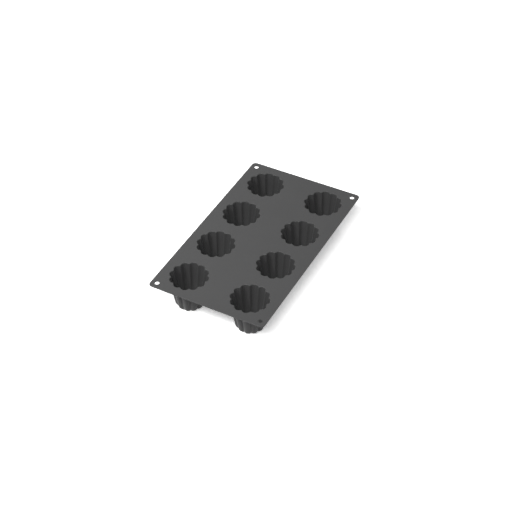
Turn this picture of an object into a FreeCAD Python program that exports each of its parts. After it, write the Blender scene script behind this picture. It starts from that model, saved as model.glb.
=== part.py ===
# Silicone canele mould: eight fluted cups hang from one thin sheet, moulded as a single piece.
# The origin is at the middle of the footprint, on the surface that the cups stand on.
# +X runs along the sheet's length, +Y across it and +Z up, out of the cups' mouths.
import FreeCAD, Part
import math
import os

# Sheet
sheet_length = 300.0
sheet_width = 175.0
sheet_thickness = 1.5
sheet_corner_radius = 6.0
sheet_edge_bevel = 0.4

# Cups: how many there are, and how far apart their axes stand
cups_along = 4
cups_across = 2
pitch_along = 73.2
pitch_across = 93.2

# Cavity. Its radii reach from the cup's axis to the middle of a flute, where wall and floor
# would meet if the corner between them were sharp
cavity_depth = 48.5
mouth_radius = 27.3
floor_radius = 19.0
lip_width = 0.6

# Corner between the cavity's wall and floor: straight bands that follow an arc
corner_radius = 7.0
corner_bands = 2

# Flutes at the mouth. They shrink with the cup towards its floor. Inside, a flat ridge parts two
# flutes. Outside they meet in a crease
flute_count = 12
flute_depth = 2.9
ridge_width = 1.4

wall_thickness = 1.5
floor_thickness = 1.5

# Dish pressed up into each cup's foot
dish_radius = 8.0
dish_top_radius = 6.0
dish_height = 1.5

# Hanging holes near the sheet's corners
hole_radius = 3.25
hole_inset = 9.3

# How far a drill runs past the sheet's faces
overrun = 4.0

# Heights of the sheet's faces, and how far the cavity's wall leans out in each mm of height
sheet_top = floor_thickness + cavity_depth
sheet_underside = sheet_top - sheet_thickness
wall_slope = (mouth_radius - floor_radius) / cavity_depth


def flute_outline(tip, ridge, radius, z):
    """Closed line round a cup at height z, where the middles of its flutes reach radius.

    It is set out for the sheet's top face, where they reach tip and flats of width ridge part
    them, and then shrunk about the cup's axis."""
    half_pitch = math.pi / flute_count
    ridge_reach = tip - flute_depth
    x_end = ridge_reach * math.cos(half_pitch) + ridge / 2 * math.sin(half_pitch)
    y_end = ridge_reach * math.sin(half_pitch) - ridge / 2 * math.cos(half_pitch)
    flute_radius = ((tip - x_end) ** 2 + y_end**2) / (2 * (tip - x_end))
    flute_centre = tip - flute_radius
    turn = math.atan2(y_end, x_end - flute_centre)
    scale = radius / tip
    flutes = []
    for k in range(flute_count):
        middle = (2 * k + 1) * half_pitch
        across = FreeCAD.Vector(math.cos(middle), math.sin(middle), 0)
        centre = across * flute_centre * scale + FreeCAD.Vector(0, 0, z)
        circle = Part.Circle(centre, FreeCAD.Vector(0, 0, 1), flute_radius * scale)
        flutes.append(Part.Arc(circle, middle - turn, middle + turn).toShape())
    edges = []
    for flute, following in zip(flutes, flutes[1:] + flutes[:1]):
        edges.append(flute)
        if ridge > 0:
            edges.append(Part.makeLine(flute.Vertexes[-1].Point, following.Vertexes[0].Point))
    return Part.Wire(edges)


def flute_profile(tip, corner, lip, z_foot, z_end):
    """Stops (radius, z) up the middle of a flute: foot, bands of the rounded corner, wall and lip."""
    lean = math.atan(wall_slope)
    foot = tip - wall_slope * (sheet_top - z_foot)
    corner_x = foot - corner * (1 - math.sin(lean)) / math.cos(lean)
    stops = []
    for k in range(corner_bands + 1):
        angle = (math.pi / 2 - lean) * k / corner_bands - math.pi / 2
        stops.append((corner_x + corner * math.cos(angle), z_foot + corner * (1 + math.sin(angle))))
    stops.append((tip - wall_slope * (sheet_top - z_end + lip), z_end - lip))
    if lip > 0:
        stops.append((tip - wall_slope * (sheet_top - z_end) + lip, z_end))
    return stops


def fluted_solid(tip, ridge, corner, lip, z_foot, z_end):
    """Tapered fluted solid: a straight loft through its outlines, from z_foot up to z_end."""
    profile = flute_profile(tip, corner, lip, z_foot, z_end)
    return Part.makeLoft([flute_outline(tip, ridge, radius, z) for radius, z in profile], True, True)


def dish(z_foot):
    """Low round rise in the middle of a foot, from the height z_foot."""
    return Part.makeCone(dish_radius, dish_top_radius, dish_height, FreeCAD.Vector(0, 0, z_foot))


def cup_outside():
    tip = mouth_radius + wall_thickness
    body = fluted_solid(tip, 0, corner_radius + floor_thickness, 0, 0, sheet_underside)
    return body.cut(dish(0))


def cup_inside():
    cavity = fluted_solid(mouth_radius, ridge_width, corner_radius, lip_width, floor_thickness, sheet_top)
    return cavity.cut(dish(floor_thickness))


def at_cups(shape):
    copies = []
    for i in range(cups_along):
        for j in range(cups_across):
            x = (i - (cups_along - 1) / 2) * pitch_along
            y = (j - (cups_across - 1) / 2) * pitch_across
            copies.append(shape.translated(FreeCAD.Vector(x, y, 0)))
    return copies


def hanging_holes():
    drills = []
    for side_x in (-1, 1):
        for side_y in (-1, 1):
            x = side_x * (sheet_length / 2 - hole_inset)
            y = side_y * (sheet_width / 2 - hole_inset)
            base = FreeCAD.Vector(x, y, sheet_underside - overrun)
            drills.append(Part.makeCylinder(hole_radius, sheet_thickness + 2 * overrun, base))
    return drills


def sheet():
    """Flat sheet with rounded corners, bevelled edges and its hanging holes."""
    corner = FreeCAD.Vector(-sheet_length / 2, -sheet_width / 2, sheet_underside)
    plate = Part.makeBox(sheet_length, sheet_width, sheet_thickness, corner)
    uprights = [edge for edge in plate.Edges if edge.BoundBox.ZLength > sheet_thickness / 2]
    plate = plate.makeFillet(sheet_corner_radius, uprights)
    rims = [edge for edge in plate.Edges if edge.BoundBox.ZLength < sheet_thickness / 2]
    return plate.makeChamfer(sheet_edge_bevel, rims).cut(hanging_holes())


def canele_mould():
    return sheet().fuse(at_cups(cup_outside())).cut(at_cups(cup_inside()))


def main():
    os.makedirs("parts", exist_ok=True)
    canele_mould().Solids[0].exportStep("parts/canele_mould.step")


main()
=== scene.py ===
import math

import bpy
from mathutils import Matrix, Vector
from mathutils.geometry import delaunay_2d_cdt


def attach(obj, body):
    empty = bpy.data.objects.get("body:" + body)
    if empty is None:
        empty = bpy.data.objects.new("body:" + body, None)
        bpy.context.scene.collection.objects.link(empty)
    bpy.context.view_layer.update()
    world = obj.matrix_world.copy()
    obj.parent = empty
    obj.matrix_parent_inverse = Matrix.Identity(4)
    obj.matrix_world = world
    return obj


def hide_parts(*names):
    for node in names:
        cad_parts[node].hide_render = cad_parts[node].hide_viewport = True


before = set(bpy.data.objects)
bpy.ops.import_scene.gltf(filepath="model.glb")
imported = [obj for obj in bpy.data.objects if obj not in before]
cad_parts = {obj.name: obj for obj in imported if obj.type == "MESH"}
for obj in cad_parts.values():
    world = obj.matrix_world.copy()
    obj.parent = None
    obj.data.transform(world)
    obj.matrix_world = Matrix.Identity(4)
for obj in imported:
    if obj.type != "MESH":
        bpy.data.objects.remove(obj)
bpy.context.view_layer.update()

# The mould's sizes in mm, as in its solid
SHEET_LENGTH = 300.0
SHEET_WIDTH = 175.0
SHEET_CORNER = 6.0
TOP = 50.0
UNDERSIDE = 48.5
CUPS_ALONG = 4
CUPS_ACROSS = 2
PITCH_ALONG = 73.2
PITCH_ACROSS = 93.2
MOUTH = 27.3
CUP_FLOOR = 19.0
CUP_FLOOR_Z = 1.5
WALL = 1.5
FLUTES = 12
FLUTE_DEPTH = 2.9
SLOPE = (MOUTH - CUP_FLOOR) / (TOP - CUP_FLOOR_Z)
HOLE = 3.25
HOLE_INSET = 9.3

# The two sides of a cup's wall in mm. Ridge, corner and flare are radii, which the solid has as
# straight bands or bevels, as it has the rounded edges of the sheet. Its holes are sharp.
INSIDE = {
    "tip": MOUTH, "ridge": 1.5, "corner": 7.0, "flare": 1.0, "foot": CUP_FLOOR_Z, "end": TOP,
}
OUTSIDE = {
    "tip": MOUTH + WALL, "ridge": 0.35, "corner": 8.5, "flare": 0.7, "foot": 0.0, "end": UNDERSIDE,
}
SHEET_EDGE = 0.7
HOLE_EDGE = 0.35
DISH = {"radius": 8.0, "height": 1.5, "rim": 4.0}

# How finely the curves are divided
FLUTE_STEPS = 10
RIDGE_STEPS = 5
FLARE_STEPS = 5
CORNER_STEPS = 8
WALL_STEPS = 3
DISH_STEPS = 4
EDGE_STEPS = 4
ROUND_STEPS = 8
HOLE_STEPS = 40

# Points of the sheet's faces nearer than this (mm) count as one
SAME_POINT = 1e-6
MM_PER_M = 1000

# Camera solved from the photograph: where it stands, what it looks at (mm), its tilt and lens
CAMERA_PLACE = Vector((-1103.35, -608.50, 1113.38 + TOP))
CAMERA_TARGET = Vector((-33.09, -14.31, TOP))
CAMERA_ROLL = 0.0204
LENS_MM = 85.0
SENSOR_MM = 36.0

# Silicone: its linear colour, its noises (scale per metre, detail, roughness), the range that they
# fill, and what they do: colour and roughness run over a range with the cloud and vary with the
# grain, and the bump has some grain on top of the peel, with a strength and a height in m
SILICONE = (0.061, 0.061, 0.0616)
CLOUD = (22.0, 4.0, 0.55)
GRAIN = (2600.0, 3.0, 0.6)
PEEL = (420.0, 2.0, 0.5)
NOISE_RANGE = (0.3, 0.7)
TINT = (0.96, 1.04)
ROUGHNESS = (0.35, 0.40)
BY_GRAIN = (-0.03, 0.03)
BUMP_GRAIN = 0.4
BUMP_STRENGTH = 0.25
BUMP_HEIGHT = 0.0002

# Floor: half its width and how far it lies below the feet (m), its brightness in the light that it
# sends on, in reflections and to the camera, a glow that lightens the shadow, and the distances
# from the middle (m) between which it turns white
FLOOR_HALF = 6.0
FLOOR_DROP = 0.0002
FLOOR_BOUNCE = 0.15
FLOOR_MIRRORED = 0.72
FLOOR_SEEN = 1.6
FLOOR_LIFT = 0.41
FLOOR_FADE = (0.5, 1.3)

# Light from all round, and lamps with a name, a place (m), a size (m) and a power (W)
WORLD_FILL = 0.12
LAMPS = (
    ("key", (-1.20, -0.45, 1.70), 0.7, 24.0),
    ("side", (-1.15, 0.70, 1.70), 0.5, 19.0),
    ("back", (1.15, 1.32, 1.28), 1.1, 4.0),
)


def arc(x, y, radius, start, end, steps):
    """Points along a circular arc, both ends among them."""
    angles = [start + (end - start) * k / steps for k in range(steps + 1)]
    return [(x + radius * math.cos(a), y + radius * math.sin(a)) for a in angles]


def flute_outline(tip, ridge):
    """Closed outline of a cup at the sheet's top face: round flutes joined by rounded ridges."""
    half_pitch = math.pi / FLUTES
    ridge_centre = tip - FLUTE_DEPTH + ridge
    across = ridge_centre * math.cos(half_pitch)
    far = tip**2 + ridge_centre**2 - 2 * tip * across - ridge**2
    flute = far / (2 * (tip - across + ridge))
    turn = math.atan2(ridge_centre * math.sin(half_pitch), across - (tip - flute))
    points = []
    for k in range(FLUTES):
        middle = (2 * k + 1) * half_pitch
        x, y = (tip - flute) * math.cos(middle), (tip - flute) * math.sin(middle)
        points += arc(x, y, flute, middle - turn, middle + turn, FLUTE_STEPS)[:-1]
        middle += half_pitch
        x, y = ridge_centre * math.cos(middle), ridge_centre * math.sin(middle)
        back = middle + math.pi
        start, end = back + turn - half_pitch, back - turn + half_pitch
        points += arc(x, y, ridge, start, end, RIDGE_STEPS)[:-1]
    return points


def flute_profile(tip, corner, flare, foot, end):
    """Stops (radius, z) down a flute's middle: the flare, the leaning wall and the corner."""
    lean = math.atan(SLOPE)
    touch = tip - SLOPE * (TOP - end + flare - flare * math.sin(lean))
    flare_x = touch + flare * math.cos(lean)
    stops = arc(flare_x, end - flare, flare, math.pi / 2, math.pi - lean, FLARE_STEPS)
    base = tip - SLOPE * (TOP - foot)
    corner_x = base - corner * (1 - math.sin(lean)) / math.cos(lean)
    bend = arc(corner_x, foot + corner, corner, -lean, -math.pi / 2, CORNER_STEPS)
    high, low = stops[-1], bend[0]
    for k in range(1, WALL_STEPS):
        share = k / WALL_STEPS
        stops.append((high[0] + (low[0] - high[0]) * share, high[1] + (low[1] - high[1]) * share))
    return stops + bend


def dish_profile(rim, foot):
    """Stops (radius, z) from the foot's flat ring, over the dish's rim, to near its middle.

    Also gives back the middle's z.
    """
    radius, height = DISH["radius"], DISH["height"]
    sphere = (radius**2 + height**2) / (2 * height)
    angle = math.asin(radius / sphere)
    dome = sphere - rim
    stops = arc(radius, foot + rim, rim, -math.pi / 2, -math.pi / 2 - angle, DISH_STEPS)
    centre = foot + height - dome
    turned = [angle * (1 - k / DISH_STEPS) for k in range(1, DISH_STEPS)]
    stops += [(dome * math.sin(a), centre + dome * math.cos(a)) for a in turned]
    return stops, foot + height


class Skin:
    """Collects points and faces of one closed mesh, in mm."""

    def __init__(self):
        self.points = []
        self.faces = []
        self.smooth = []

    def ring(self, flat, z):
        """Adds points at one height and gives back their numbers."""
        start = len(self.points)
        self.points += [(x, y, z) for x, y in flat]
        return list(range(start, len(self.points)))

    def face(self, corners, smooth):
        self.faces.append(corners)
        self.smooth.append(smooth)

    def bridge(self, upper, lower, inward):
        """Quads between two counter-clockwise rings. Inward faces look at the rings' axis."""
        count = len(upper)
        for k in range(count):
            n = (k + 1) % count
            quad = (upper[k], upper[n], lower[n], lower[k])
            self.face(quad if inward else quad[::-1], True)

    def cap(self, ring, z, inward):
        """Fan of triangles from a ring to a point in its middle at height z."""
        middle = [sum(self.points[i][a] for i in ring) / len(ring) for a in (0, 1)]
        self.points.append((*middle, z))
        centre = len(self.points) - 1
        for k in range(len(ring)):
            n = (k + 1) % len(ring)
            fan = (ring[k], ring[n], centre)
            self.face(fan if inward else fan[::-1], True)

    def plane(self, border, holes, up):
        """Flat face between a border and the holes in it."""
        rings = [border] + holes
        flat, edges, owner = [], [], []
        for ring in rings:
            start = len(flat)
            flat += [Vector(self.points[i][:2]) for i in ring]
            owner += ring
            edges += [(start + k, start + (k + 1) % len(ring)) for k in range(len(ring))]
        spots, _, triangles, origins, _, _ = delaunay_2d_cdt(flat, edges, [], 0, SAME_POINT)
        index = [owner[o[0]] for o in origins]
        shapes = [[self.points[i][:2] for i in ring] for ring in rings]
        for triangle in triangles:
            centre = [sum(spots[i][a] for i in triangle) / 3 for a in (0, 1)]
            if not inside(centre, shapes[0]) or any(inside(centre, s) for s in shapes[1:]):
                continue
            a, b, c = (index[i] for i in triangle)
            (ax, ay, _), (bx, by, _), (cx, cy, _) = self.points[a], self.points[b], self.points[c]
            turned = (bx - ax) * (cy - ay) - (by - ay) * (cx - ax) > 0
            self.face((a, b, c) if turned == up else (a, c, b), False)


def inside(point, shape):
    """Whether a point lies in a closed outline."""
    x, y = point
    found = False
    for (ax, ay), (bx, by) in zip(shape, shape[1:] + shape[:1]):
        if (ay > y) != (by > y) and x < ax + (y - ay) * (bx - ax) / (by - ay):
            found = not found
    return found


def rounded_rectangle(inset):
    """Outline of the sheet, drawn in by inset."""
    half_x, half_y = SHEET_LENGTH / 2 - inset, SHEET_WIDTH / 2 - inset
    radius = SHEET_CORNER - inset
    points = []
    for quarter, (sx, sy) in enumerate(((1, 1), (-1, 1), (-1, -1), (1, -1))):
        x, y = sx * (half_x - radius), sy * (half_y - radius)
        start = quarter * math.pi / 2
        points += arc(x, y, radius, start, start + math.pi / 2, ROUND_STEPS)
    return points


def edge_stops(radius):
    """Stops (inset, z) from the sheet's top face round its edge to the underside."""
    quarter = [math.pi / 2 * k / EDGE_STEPS for k in range(EDGE_STEPS + 1)]
    upper = [(radius * (1 - math.sin(a)), TOP - radius * (1 - math.cos(a))) for a in quarter]
    return upper + [(inset, TOP + UNDERSIDE - z) for inset, z in reversed(upper)]


def circle(x, y, radius):
    """Outline of a hanging hole."""
    angles = [2 * math.pi * k / HOLE_STEPS for k in range(HOLE_STEPS)]
    return [(x + radius * math.cos(a), y + radius * math.sin(a)) for a in angles]


def cup_side(skin, x, y, tip, ridge, corner, flare, foot, end, inward):
    """One side of a cup's wall, down to the dish in its foot. Gives back the ring at the sheet."""
    outline = flute_outline(tip, ridge)
    rings = []
    for radius, z in flute_profile(tip, corner, flare, foot, end):
        flat = [(x + px * radius / tip, y + py * radius / tip) for px, py in outline]
        rings.append(skin.ring(flat, z))
    stops, peak = dish_profile(DISH["rim"] + (0 if inward else WALL), foot)
    turns = [math.atan2(py, px) for px, py in outline]
    for radius, z in stops:
        flat = [(x + radius * math.cos(a), y + radius * math.sin(a)) for a in turns]
        rings.append(skin.ring(flat, z))
    for upper, lower in zip(rings, rings[1:]):
        skin.bridge(upper, lower, inward)
    skin.cap(rings[-1], peak, inward)
    return rings[0]


def mould_skin():
    """The mould as one smooth closed mesh: sheet, fluted cups and hanging holes."""
    skin = Skin()
    tops, unders = [], []
    for i in range(CUPS_ALONG):
        for j in range(CUPS_ACROSS):
            x = (i - (CUPS_ALONG - 1) / 2) * PITCH_ALONG
            y = (j - (CUPS_ACROSS - 1) / 2) * PITCH_ACROSS
            tops.append(cup_side(skin, x, y, inward=True, **INSIDE))
            unders.append(cup_side(skin, x, y, inward=False, **OUTSIDE))
    for sx in (-1, 1):
        for sy in (-1, 1):
            x, y = sx * (SHEET_LENGTH / 2 - HOLE_INSET), sy * (SHEET_WIDTH / 2 - HOLE_INSET)
            rings = [skin.ring(circle(x, y, HOLE + inset), z) for inset, z in edge_stops(HOLE_EDGE)]
            for upper, lower in zip(rings, rings[1:]):
                skin.bridge(upper, lower, True)
            tops.append(rings[0])
            unders.append(rings[-1])
    rims = [skin.ring(rounded_rectangle(inset), z) for inset, z in edge_stops(SHEET_EDGE)]
    for upper, lower in zip(rims, rims[1:]):
        skin.bridge(upper, lower, False)
    skin.plane(rims[0], tops, True)
    skin.plane(rims[-1], unders, False)
    mesh = bpy.data.meshes.new("canele_mould_skin")
    points = [tuple(value / MM_PER_M for value in point) for point in skin.points]
    mesh.from_pydata(points, [], skin.faces)
    mesh.polygons.foreach_set("use_smooth", skin.smooth)
    mesh.update()
    thing = bpy.data.objects.new("canele_mould_skin", mesh)
    bpy.context.scene.collection.objects.link(thing)
    mesh.materials.append(silicone())
    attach(thing, "root")
    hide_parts("canele_mould")


class Graph:
    """Adds shader nodes to a material or world and links them."""

    def __init__(self, owner):
        owner.use_nodes = True
        self.tree = owner.node_tree
        self.tree.nodes.clear()

    def node(self, kind, values=None, **settings):
        """New node, with its settings. Values are numbers for its sockets or outputs to link."""
        made = self.tree.nodes.new(kind)
        for key, value in settings.items():
            setattr(made, key, value)
        for socket, value in (values or {}).items():
            if isinstance(value, bpy.types.NodeSocket):
                self.tree.links.new(value, made.inputs[socket])
            else:
                made.inputs[socket].default_value = value
        return made

    def math(self, operation, a, b=0.0):
        return self.node("ShaderNodeMath", {0: a, 1: b}, operation=operation).outputs[0]

    def noise(self, place, scale, detail, roughness):
        values = {"Vector": place, "Scale": scale, "Detail": detail, "Roughness": roughness}
        return self.node("ShaderNodeTexNoise", values).outputs["Fac"]

    def remap(self, value, old, new):
        values = {"Value": value}
        values.update(zip(("From Min", "From Max", "To Min", "To Max"), old + new))
        return self.node("ShaderNodeMapRange", values).outputs["Result"]

    def vary(self, cloud, span, grain):
        """Runs over the span with the cloud noise, and a little either way with the grain."""
        wide = self.remap(cloud, NOISE_RANGE, span)
        return self.math("ADD", wide, self.remap(grain, NOISE_RANGE, BY_GRAIN))


def silicone():
    """Dark grey matte silicone: moulded grain and a faint cloudy bloom."""
    material = bpy.data.materials.new("silicone_grey")
    g = Graph(material)
    place = g.node("ShaderNodeTexCoord").outputs["Object"]
    cloud = g.noise(place, *CLOUD)
    grain = g.noise(place, *GRAIN)
    peel = g.noise(place, *PEEL)
    tint = g.vary(cloud, TINT, grain)
    colour = g.node("ShaderNodeVectorMath", {0: SILICONE, "Scale": tint}, operation="SCALE")
    height = g.math("ADD", g.math("MULTIPLY", grain, BUMP_GRAIN), peel)
    values = {"Height": height, "Strength": BUMP_STRENGTH, "Distance": BUMP_HEIGHT}
    bump = g.node("ShaderNodeBump", values)
    values = {
        "Base Color": colour.outputs[0],
        "Roughness": g.vary(cloud, ROUGHNESS, grain),
        "IOR": 1.37,
        "Sheen Weight": 0.06,
        "Normal": bump.outputs[0],
    }
    shader = g.node("ShaderNodeBsdfPrincipled", values)
    g.node("ShaderNodeOutputMaterial", {"Surface": shader.outputs[0]})
    return material


def floor():
    """White floor that keeps the shadows. The camera and reflections see it nearer to white."""
    mesh = bpy.data.meshes.new("floor")
    corners = [(x * FLOOR_HALF, y * FLOOR_HALF, 0) for x, y in ((-1, -1), (1, -1), (1, 1), (-1, 1))]
    mesh.from_pydata(corners, [], [(0, 1, 2, 3)])
    thing = bpy.data.objects.new("floor", mesh)
    thing.location.z = -FLOOR_DROP
    bpy.context.scene.collection.objects.link(thing)
    material = bpy.data.materials.new("floor_white")
    g = Graph(material)
    path = g.node("ShaderNodeLightPath").outputs
    bounce = g.node("ShaderNodeBsdfDiffuse", {"Color": (FLOOR_BOUNCE,) * 3 + (1.0,)})
    place = g.node("ShaderNodeTexCoord").outputs["Object"]
    away = g.node("ShaderNodeVectorMath", {0: place}, operation="LENGTH").outputs["Value"]
    glow = g.remap(away, FLOOR_FADE, (FLOOR_LIFT, 1.0))
    lift = g.node("ShaderNodeEmission", {"Strength": glow})
    white = []
    for shade in (FLOOR_MIRRORED, FLOOR_SEEN):
        plain = g.node("ShaderNodeBsdfDiffuse", {"Color": (shade,) * 3 + (1.0,)})
        both = g.node("ShaderNodeAddShader", {0: plain.outputs[0], 1: lift.outputs[0]})
        white.append(both.outputs[0])
    mirrored = g.math("MAXIMUM", path["Is Glossy Ray"], path["Is Transmission Ray"])
    mix = g.node("ShaderNodeMixShader", {0: mirrored, 1: bounce.outputs[0], 2: white[0]})
    mix = g.node("ShaderNodeMixShader", {0: path["Is Camera Ray"], 1: mix.outputs[0], 2: white[1]})
    g.node("ShaderNodeOutputMaterial", {"Surface": mix.outputs[0]})
    mesh.materials.append(material)


def area_light(name, place, size, power):
    lamp = bpy.data.lights.new(name, "AREA")
    lamp.size = size
    lamp.energy = power
    thing = bpy.data.objects.new(name, lamp)
    thing.location = place
    thing.rotation_euler = (-Vector(place)).to_track_quat("-Z", "Y").to_euler()
    bpy.context.scene.collection.objects.link(thing)


def lights():
    """The lamps, and a world that is white to the camera and in reflections."""
    for name, place, size, power in LAMPS:
        area_light(name, place, size, power)
    world = bpy.data.worlds.new("studio")
    bpy.context.scene.world = world
    g = Graph(world)
    path = g.node("ShaderNodeLightPath").outputs
    seen = g.math("MAXIMUM", path["Is Camera Ray"], path["Is Transmission Ray"])
    seen = g.math("MAXIMUM", seen, path["Is Glossy Ray"])
    fill = g.node("ShaderNodeBackground", {"Strength": WORLD_FILL})
    white = g.node("ShaderNodeBackground", {"Color": (1.0, 1.0, 1.0, 1.0)})
    mix = g.node("ShaderNodeMixShader", {0: seen, 1: fill.outputs[0], 2: white.outputs[0]})
    g.node("ShaderNodeOutputWorld", {"Surface": mix.outputs[0]})


def camera():
    """Camera at the photograph's angle."""
    lens = bpy.data.cameras.new("camera")
    lens.lens = LENS_MM
    lens.sensor_width = SENSOR_MM
    thing = bpy.data.objects.new("camera", lens)
    back = (CAMERA_PLACE - CAMERA_TARGET).normalized()
    level = Vector((0, 0, 1)).cross(back).normalized()
    rise = back.cross(level)
    right = level * math.cos(CAMERA_ROLL) - rise * math.sin(CAMERA_ROLL)
    up = rise * math.cos(CAMERA_ROLL) + level * math.sin(CAMERA_ROLL)
    turned = Matrix((right, up, back)).transposed().to_4x4()
    turned.translation = CAMERA_PLACE / MM_PER_M
    thing.matrix_world = turned
    bpy.context.scene.collection.objects.link(thing)
    bpy.context.scene.camera = thing


mould_skin()
floor()
lights()
camera()
bpy.context.scene.view_settings.view_transform = "Standard"
